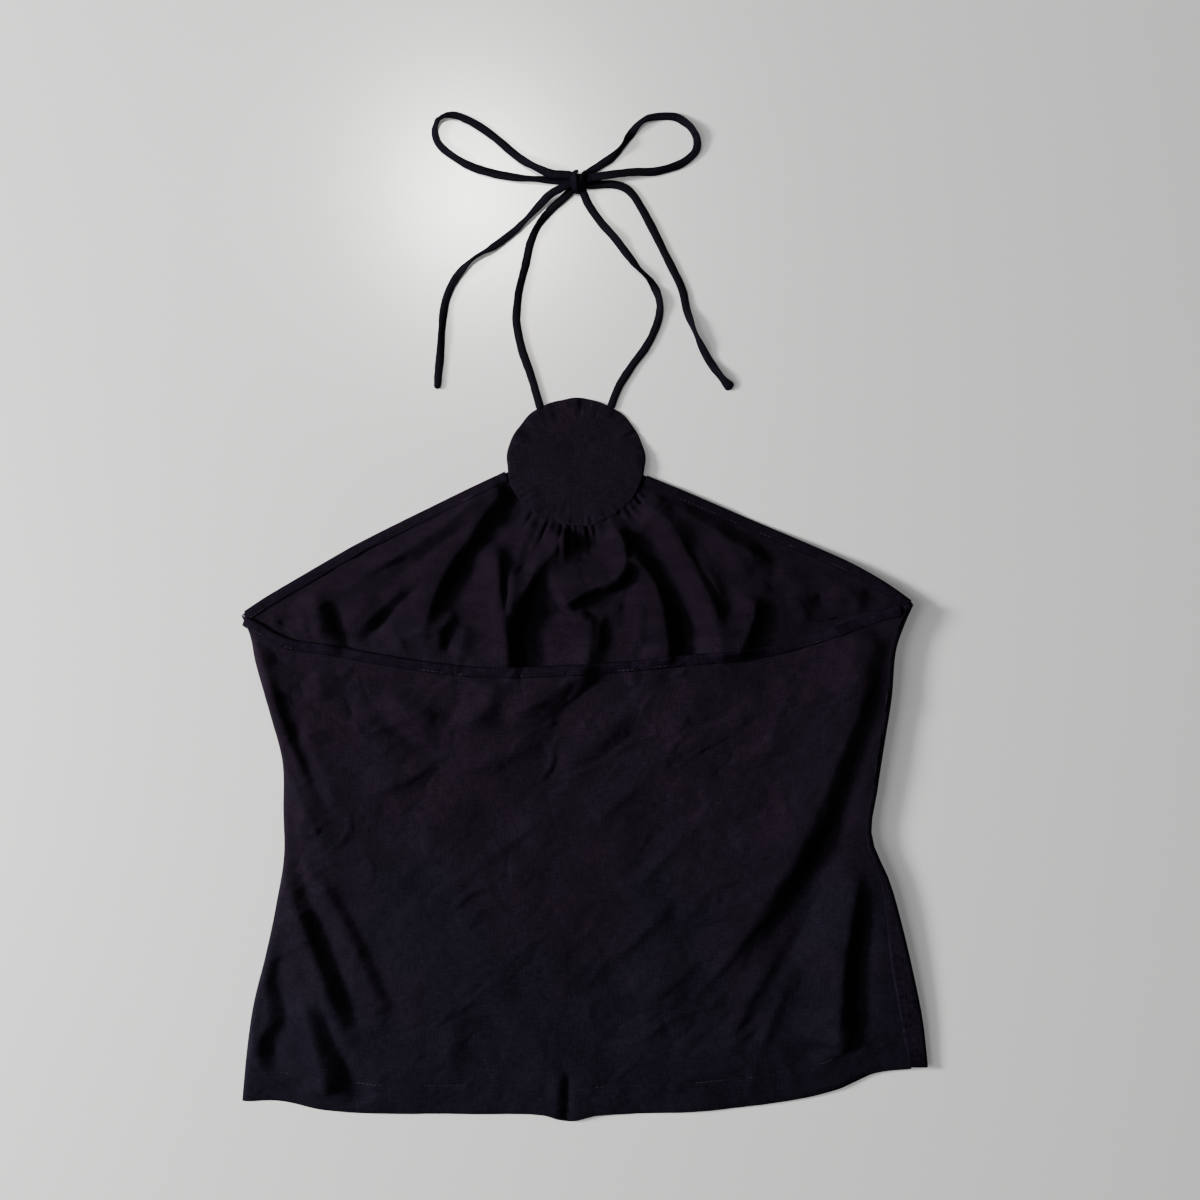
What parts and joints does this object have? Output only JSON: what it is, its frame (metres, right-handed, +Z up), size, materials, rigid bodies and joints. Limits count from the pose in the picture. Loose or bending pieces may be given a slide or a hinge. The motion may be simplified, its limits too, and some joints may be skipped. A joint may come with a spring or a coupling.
{
  "type": "halter neck top",
  "caption": "Sleeveless cotton halter top laid flat with its back uppermost: gathered front, round neck disc, bound edges and narrow ties in a bow.",
  "frame": {"origin": "on the surface the garment lies on, below the middle of the box of the cloth without the ties", "axes": "+Z up from the surface; +Y from the hem to the neck; +X to the right side as seen from above, with the back uppermost"},
  "size_m": [0.4104, 0.6036, 0.0129],
  "materials": {
    "cotton": "matte black plain-weave cotton, slightly slubby, softly creased",
    "binding": "the same black cotton folded double and topstitched",
    "rouleau": "the same black cotton as a soft, slightly twisted narrow tube"
  },
  "bodies": {
    "root": {"front_panel": "cotton", "back_panel": "cotton", "neck_disc": "cotton", "back_neck_band": "binding", "armhole_band_left": "binding", "armhole_band_right": "binding", "tie_left_neck": "rouleau", "tie_right_loop": "rouleau", "tie_left_tail": "rouleau", "tie_right_neck": "rouleau", "tie_left_loop": "rouleau", "tie_right_tail": "rouleau", "tie_knot": "rouleau"}
  },
  "joints": []
}
